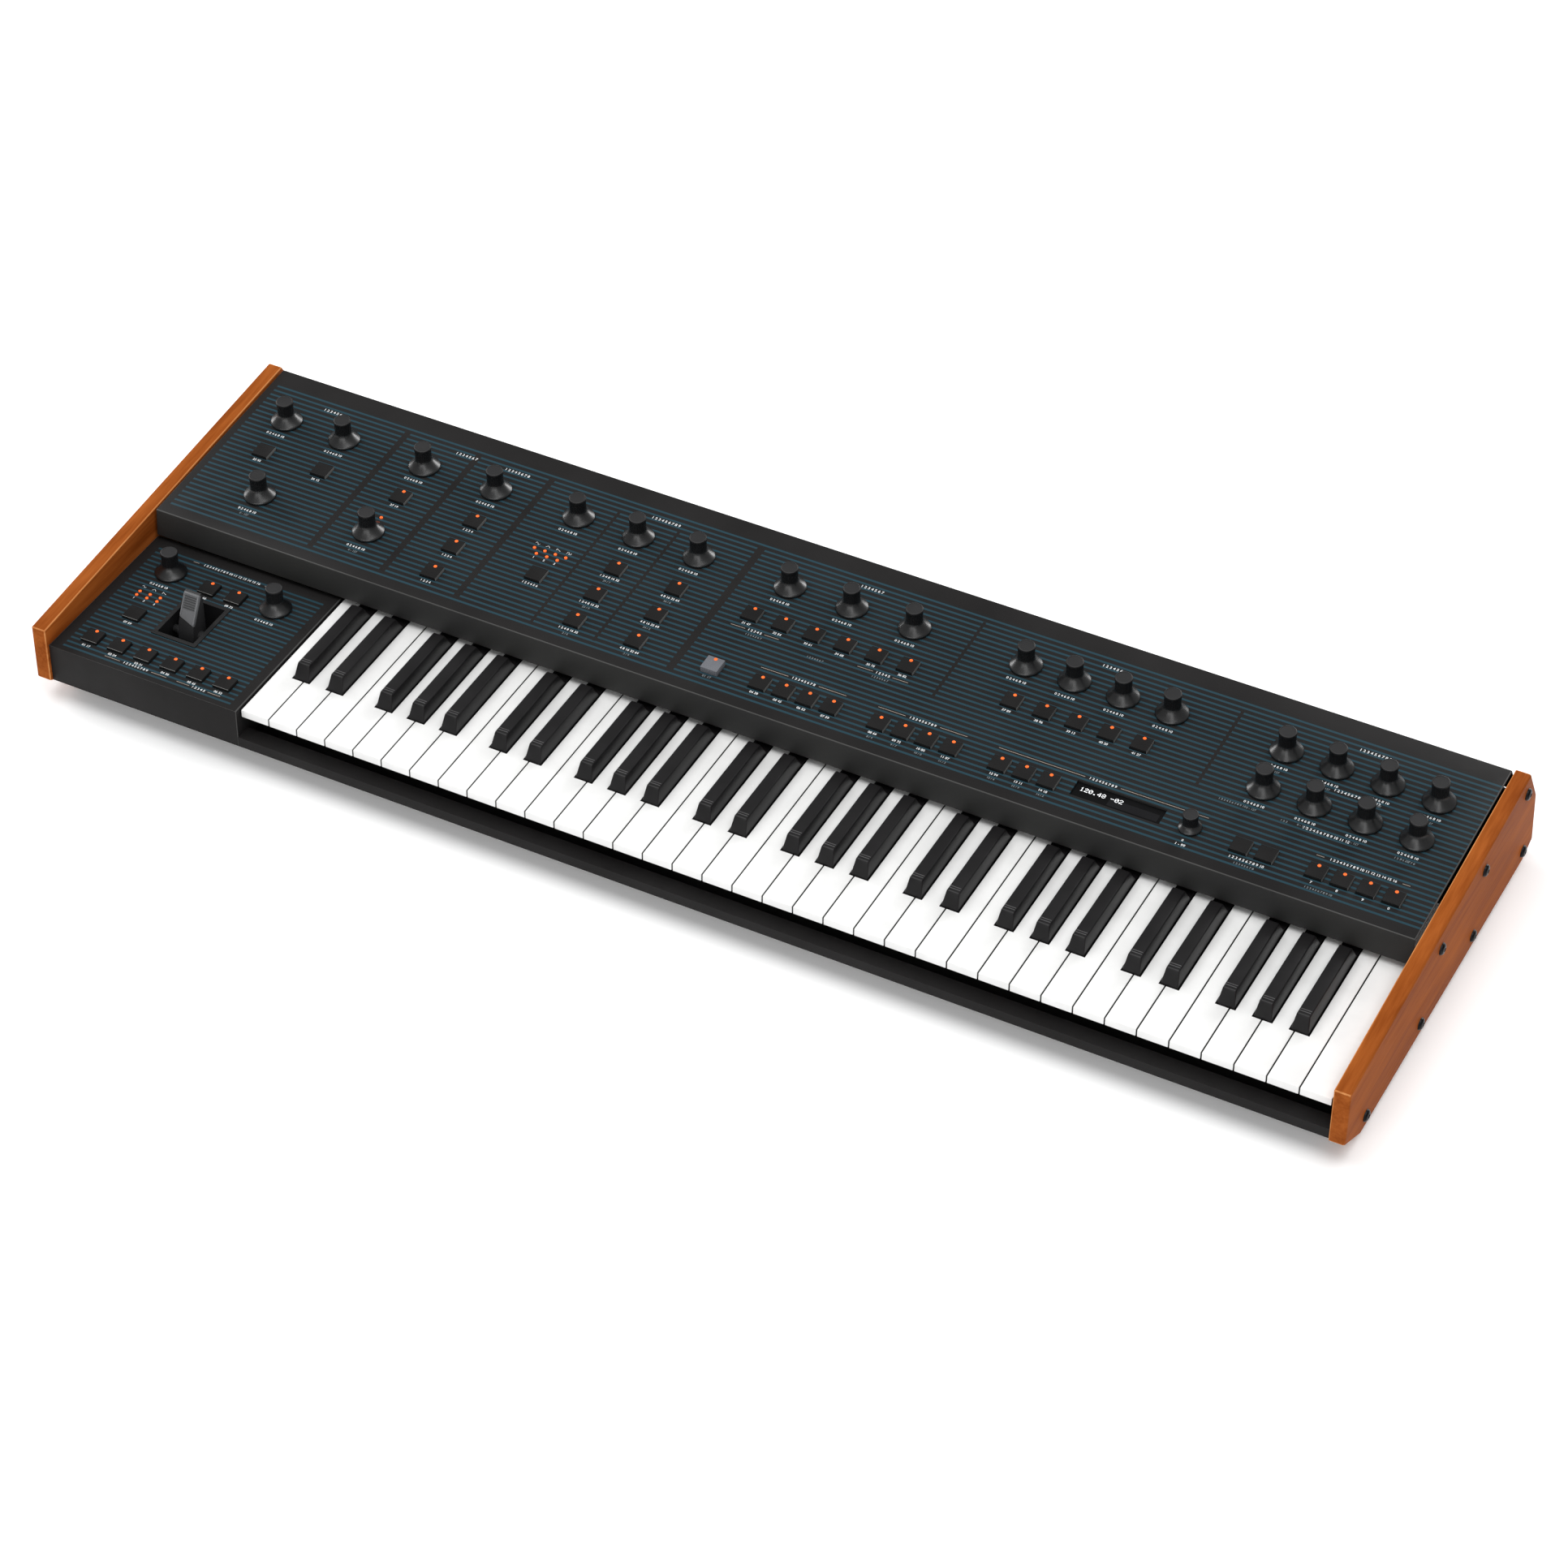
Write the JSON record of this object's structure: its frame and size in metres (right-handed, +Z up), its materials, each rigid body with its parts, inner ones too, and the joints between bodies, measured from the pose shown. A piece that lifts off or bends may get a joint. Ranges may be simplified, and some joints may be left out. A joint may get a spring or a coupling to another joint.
{
  "type": "synthesizer",
  "caption": "Keyboard synthesizer with a sloped control panel of knobs and push buttons, a lower performance panel with a sprung lever, and wood cheeks.",
  "frame": {"origin": "middle of the footprint, on the surface under the rubber feet", "axes": "+X to the player's right, +Y away from the player, +Z up"},
  "size_m": [1.0346, 0.3544, 0.1098],
  "materials": {
    "case_paint": "satin charcoal paint with fine texture",
    "cheek_wood": "satin orange-brown lacquer",
    "foot_rubber": "matte",
    "key_white": "gloss",
    "key_black": "satin",
    "rod_steel": "bright",
    "felt": "matte felt",
    "knob_black": "gloss skirt, satin grip",
    "cap_dark": "satin",
    "cap_light": "satin",
    "lever_grey": "satin",
    "pocket_black": "matte",
    "lamp": "gloss",
    "display_black": "gloss",
    "socket_black": "matte",
    "socket_steel": "satin"
  },
  "bodies": {
    "case": {"case_pan": "case_paint", "top_panel": "case_paint", "performance_panel": "case_paint", "rear_panel": "case_paint", "cheek_left": "cheek_wood", "cheek_right": "cheek_wood", "rubber_feet": "foot_rubber", "jack_sockets": "socket_black", "din_sockets": "socket_black", "usb_socket": "socket_steel", "mains_inlet": "socket_black", "keybed_frame": "case_paint", "key_pivot_rod": "rod_steel", "key_felt": "felt", "panel_pots": "socket_black", "panel_lights": "lamp", "display_window": "display_black", "lever_pocket": "pocket_black"},
    "lever_body": {"lever": "lever_grey"},
    "white_c": {"keys_white_c": "key_white"},
    "white_d": {"keys_white_d": "key_white"},
    "white_e": {"keys_white_e": "key_white"},
    "white_f": {"keys_white_f": "key_white"},
    "white_g": {"keys_white_g": "key_white"},
    "white_a": {"keys_white_a": "key_white"},
    "white_b": {"keys_white_b": "key_white"},
    "black_twos": {"keys_black_twos": "key_black"},
    "black_threes": {"keys_black_threes": "key_black"},
    "upper_buttons": {"caps_upper": "cap_dark"},
    "hold_button": {"cap_hold": "cap_light"},
    "lower_buttons": {"caps_lower": "cap_dark"},
    "rocker": {"power_rocker": "socket_black"},
    "knob_volume_body": {"knob_volume": "knob_black"},
    "knob_balance_body": {"knob_balance": "knob_black"},
    "knob_tune_body": {"knob_tune": "knob_black"},
    "knob_rate_body": {"knob_rate": "knob_black"},
    "knob_detune_body": {"knob_detune": "knob_black"},
    "knob_glide_body": {"knob_glide": "knob_black"},
    "knob_mod_depth_body": {"knob_mod_depth": "knob_black"},
    "knob_mod_rate_body": {"knob_mod_rate": "knob_black"},
    "knob_mod_delay_body": {"knob_mod_delay": "knob_black"},
    "knob_one_shape_body": {"knob_one_shape": "knob_black"},
    "knob_one_tune_body": {"knob_one_tune": "knob_black"},
    "knob_one_mix_body": {"knob_one_mix": "knob_black"},
    "knob_cutoff_body": {"knob_cutoff": "knob_black"},
    "knob_resonance_body": {"knob_resonance": "knob_black"},
    "knob_contour_body": {"knob_contour": "knob_black"},
    "knob_track_body": {"knob_track": "knob_black"},
    "knob_filter_attack_body": {"knob_filter_attack": "knob_black"},
    "knob_filter_decay_body": {"knob_filter_decay": "knob_black"},
    "knob_filter_sustain_body": {"knob_filter_sustain": "knob_black"},
    "knob_filter_release_body": {"knob_filter_release": "knob_black"},
    "knob_loud_attack_body": {"knob_loud_attack": "knob_black"},
    "knob_loud_decay_body": {"knob_loud_decay": "knob_black"},
    "knob_loud_sustain_body": {"knob_loud_sustain": "knob_black"},
    "knob_loud_release_body": {"knob_loud_release": "knob_black"},
    "knob_bend_rate_body": {"knob_bend_rate": "knob_black"},
    "knob_bend_depth_body": {"knob_bend_depth": "knob_black"},
    "encoder_body": {"encoder_select": "knob_black"}
  },
  "joints": [
    {"name": "lever_tilt", "type": "hinge", "parent": "case", "child": "lever_body", "pos_m": [-0.42775, -0.10325, 0.0425], "axis": [1, 0, 0], "range_deg": [-20, 20], "stiffness_Nm_per_rad": 0.15},
    {"name": "white_c_press", "type": "hinge", "parent": "case", "child": "white_c", "pos_m": [0, 0.03525, 0.04985], "axis": [1, 0, 0], "range_deg": [0, 2.8], "stiffness_Nm_per_rad": 2, "springref_deg": -11.46},
    {"name": "white_d_press", "type": "hinge", "parent": "case", "child": "white_d", "pos_m": [0, 0.03525, 0.04985], "axis": [1, 0, 0], "range_deg": [0, 2.8], "stiffness_Nm_per_rad": 2, "springref_deg": -11.46},
    {"name": "white_e_press", "type": "hinge", "parent": "case", "child": "white_e", "pos_m": [0, 0.03525, 0.04985], "axis": [1, 0, 0], "range_deg": [0, 2.8], "stiffness_Nm_per_rad": 2, "springref_deg": -11.46},
    {"name": "white_f_press", "type": "hinge", "parent": "case", "child": "white_f", "pos_m": [0, 0.03525, 0.04985], "axis": [1, 0, 0], "range_deg": [0, 2.8], "stiffness_Nm_per_rad": 2, "springref_deg": -11.46},
    {"name": "white_g_press", "type": "hinge", "parent": "case", "child": "white_g", "pos_m": [0, 0.03525, 0.04985], "axis": [1, 0, 0], "range_deg": [0, 2.8], "stiffness_Nm_per_rad": 2, "springref_deg": -11.46},
    {"name": "white_a_press", "type": "hinge", "parent": "case", "child": "white_a", "pos_m": [0, 0.03525, 0.04985], "axis": [1, 0, 0], "range_deg": [0, 2.8], "stiffness_Nm_per_rad": 2, "springref_deg": -11.46},
    {"name": "white_b_press", "type": "hinge", "parent": "case", "child": "white_b", "pos_m": [0, 0.03525, 0.04985], "axis": [1, 0, 0], "range_deg": [0, 2.8], "stiffness_Nm_per_rad": 2, "springref_deg": -11.46},
    {"name": "black_twos_press", "type": "hinge", "parent": "case", "child": "black_twos", "pos_m": [0, 0.03525, 0.04985], "axis": [1, 0, 0], "range_deg": [0, 2.8], "stiffness_Nm_per_rad": 4, "springref_deg": -11.46},
    {"name": "black_threes_press", "type": "hinge", "parent": "case", "child": "black_threes", "pos_m": [0, 0.03525, 0.04985], "axis": [1, 0, 0], "range_deg": [0, 2.8], "stiffness_Nm_per_rad": 6, "springref_deg": -11.46},
    {"name": "upper_buttons_press", "type": "slide", "parent": "case", "child": "upper_buttons", "axis": [0, 0.0619, -0.9981], "range_m": [0, 0.001], "stiffness_N_per_m": 1500, "springref_m": -0.002},
    {"name": "hold_button_press", "type": "slide", "parent": "case", "child": "hold_button", "axis": [0, 0.0619, -0.9981], "range_m": [0, 0.001], "stiffness_N_per_m": 500, "springref_m": -0.002},
    {"name": "lower_buttons_press", "type": "slide", "parent": "case", "child": "lower_buttons", "axis": [0, 0, -1], "range_m": [0, 0.001], "stiffness_N_per_m": 1000, "springref_m": -0.002},
    {"name": "power_rock", "type": "hinge", "parent": "case", "child": "rocker", "pos_m": [-0.40825, 0.16825, 0.035], "axis": [1, 0, 0], "range_deg": [-6, 6]},
    {"name": "knob_volume_turn", "type": "hinge", "parent": "case", "child": "knob_volume_body", "pos_m": [-0.46825, 0.0983, 0.08901], "axis": [0, -0.0619, 0.9981], "range_deg": [-150, 150]},
    {"name": "knob_balance_turn", "type": "hinge", "parent": "case", "child": "knob_balance_body", "pos_m": [-0.41725, 0.0983, 0.08901], "axis": [0, -0.0619, 0.9981], "range_deg": [-150, 150]},
    {"name": "knob_tune_turn", "type": "hinge", "parent": "case", "child": "knob_tune_body", "pos_m": [-0.44135, 0.01646, 0.08393], "axis": [0, -0.0619, 0.9981], "range_deg": [-150, 150]},
    {"name": "knob_rate_turn", "type": "hinge", "parent": "case", "child": "knob_rate_body", "pos_m": [-0.34675, 0.0983, 0.08901], "axis": [0, -0.0619, 0.9981], "range_deg": [-150, 150]},
    {"name": "knob_detune_turn", "type": "hinge", "parent": "case", "child": "knob_detune_body", "pos_m": [-0.34675, 0.01646, 0.08393], "axis": [0, -0.0619, 0.9981], "range_deg": [-150, 150]},
    {"name": "knob_glide_turn", "type": "hinge", "parent": "case", "child": "knob_glide_body", "pos_m": [-0.28455, 0.0983, 0.08901], "axis": [0, -0.0619, 0.9981], "range_deg": [-150, 150]},
    {"name": "knob_mod_depth_turn", "type": "hinge", "parent": "case", "child": "knob_mod_depth_body", "pos_m": [-0.21375, 0.0983, 0.08901], "axis": [0, -0.0619, 0.9981], "range_deg": [-150, 150]},
    {"name": "knob_mod_rate_turn", "type": "hinge", "parent": "case", "child": "knob_mod_rate_body", "pos_m": [-0.16315, 0.0983, 0.08901], "axis": [0, -0.0619, 0.9981], "range_deg": [-150, 150]},
    {"name": "knob_mod_delay_turn", "type": "hinge", "parent": "case", "child": "knob_mod_delay_body", "pos_m": [-0.11255, 0.0983, 0.08901], "axis": [0, -0.0619, 0.9981], "range_deg": [-150, 150]},
    {"name": "knob_one_shape_turn", "type": "hinge", "parent": "case", "child": "knob_one_shape_body", "pos_m": [-0.03705, 0.0983, 0.08901], "axis": [0, -0.0619, 0.9981], "range_deg": [-150, 150]},
    {"name": "knob_one_tune_turn", "type": "hinge", "parent": "case", "child": "knob_one_tune_body", "pos_m": [0.01355, 0.0983, 0.08901], "axis": [0, -0.0619, 0.9981], "range_deg": [-150, 150]},
    {"name": "knob_one_mix_turn", "type": "hinge", "parent": "case", "child": "knob_one_mix_body", "pos_m": [0.06415, 0.0983, 0.08901], "axis": [0, -0.0619, 0.9981], "range_deg": [-150, 150]},
    {"name": "knob_cutoff_turn", "type": "hinge", "parent": "case", "child": "knob_cutoff_body", "pos_m": [0.15315, 0.0983, 0.08901], "axis": [0, -0.0619, 0.9981], "range_deg": [-150, 150]},
    {"name": "knob_resonance_turn", "type": "hinge", "parent": "case", "child": "knob_resonance_body", "pos_m": [0.19115, 0.0983, 0.08901], "axis": [0, -0.0619, 0.9981], "range_deg": [-150, 150]},
    {"name": "knob_contour_turn", "type": "hinge", "parent": "case", "child": "knob_contour_body", "pos_m": [0.22915, 0.0983, 0.08901], "axis": [0, -0.0619, 0.9981], "range_deg": [-150, 150]},
    {"name": "knob_track_turn", "type": "hinge", "parent": "case", "child": "knob_track_body", "pos_m": [0.26715, 0.0983, 0.08901], "axis": [0, -0.0619, 0.9981], "range_deg": [-150, 150]},
    {"name": "knob_filter_attack_turn", "type": "hinge", "parent": "case", "child": "knob_filter_attack_body", "pos_m": [0.35475, 0.0983, 0.08901], "axis": [0, -0.0619, 0.9981], "range_deg": [-150, 150]},
    {"name": "knob_filter_decay_turn", "type": "hinge", "parent": "case", "child": "knob_filter_decay_body", "pos_m": [0.39285, 0.0983, 0.08901], "axis": [0, -0.0619, 0.9981], "range_deg": [-150, 150]},
    {"name": "knob_filter_sustain_turn", "type": "hinge", "parent": "case", "child": "knob_filter_sustain_body", "pos_m": [0.43095, 0.0983, 0.08901], "axis": [0, -0.0619, 0.9981], "range_deg": [-150, 150]},
    {"name": "knob_filter_release_turn", "type": "hinge", "parent": "case", "child": "knob_filter_release_body", "pos_m": [0.46905, 0.0983, 0.08901], "axis": [0, -0.0619, 0.9981], "range_deg": [-150, 150]},
    {"name": "knob_loud_attack_turn", "type": "hinge", "parent": "case", "child": "knob_loud_attack_body", "pos_m": [0.35475, 0.05728, 0.08646], "axis": [0, -0.0619, 0.9981], "range_deg": [-150, 150]},
    {"name": "knob_loud_decay_turn", "type": "hinge", "parent": "case", "child": "knob_loud_decay_body", "pos_m": [0.39285, 0.05728, 0.08646], "axis": [0, -0.0619, 0.9981], "range_deg": [-150, 150]},
    {"name": "knob_loud_sustain_turn", "type": "hinge", "parent": "case", "child": "knob_loud_sustain_body", "pos_m": [0.43095, 0.05728, 0.08646], "axis": [0, -0.0619, 0.9981], "range_deg": [-150, 150]},
    {"name": "knob_loud_release_turn", "type": "hinge", "parent": "case", "child": "knob_loud_release_body", "pos_m": [0.46905, 0.05728, 0.08646], "axis": [0, -0.0619, 0.9981], "range_deg": [-150, 150]},
    {"name": "knob_bend_rate_turn", "type": "hinge", "parent": "case", "child": "knob_bend_rate_body", "pos_m": [-0.47185, -0.06255, 0.0545], "axis": [0, 0, 1], "range_deg": [-150, 150]},
    {"name": "knob_bend_depth_turn", "type": "hinge", "parent": "case", "child": "knob_bend_depth_body", "pos_m": [-0.38045, -0.06255, 0.0545], "axis": [0, 0, 1], "range_deg": [-150, 150]},
    {"name": "encoder_turn", "type": "hinge", "parent": "case", "child": "encoder_body", "pos_m": [0.32445, -0.00011, 0.0829], "axis": [0, -0.0619, 0.9981], "continuous": true}
  ]
}
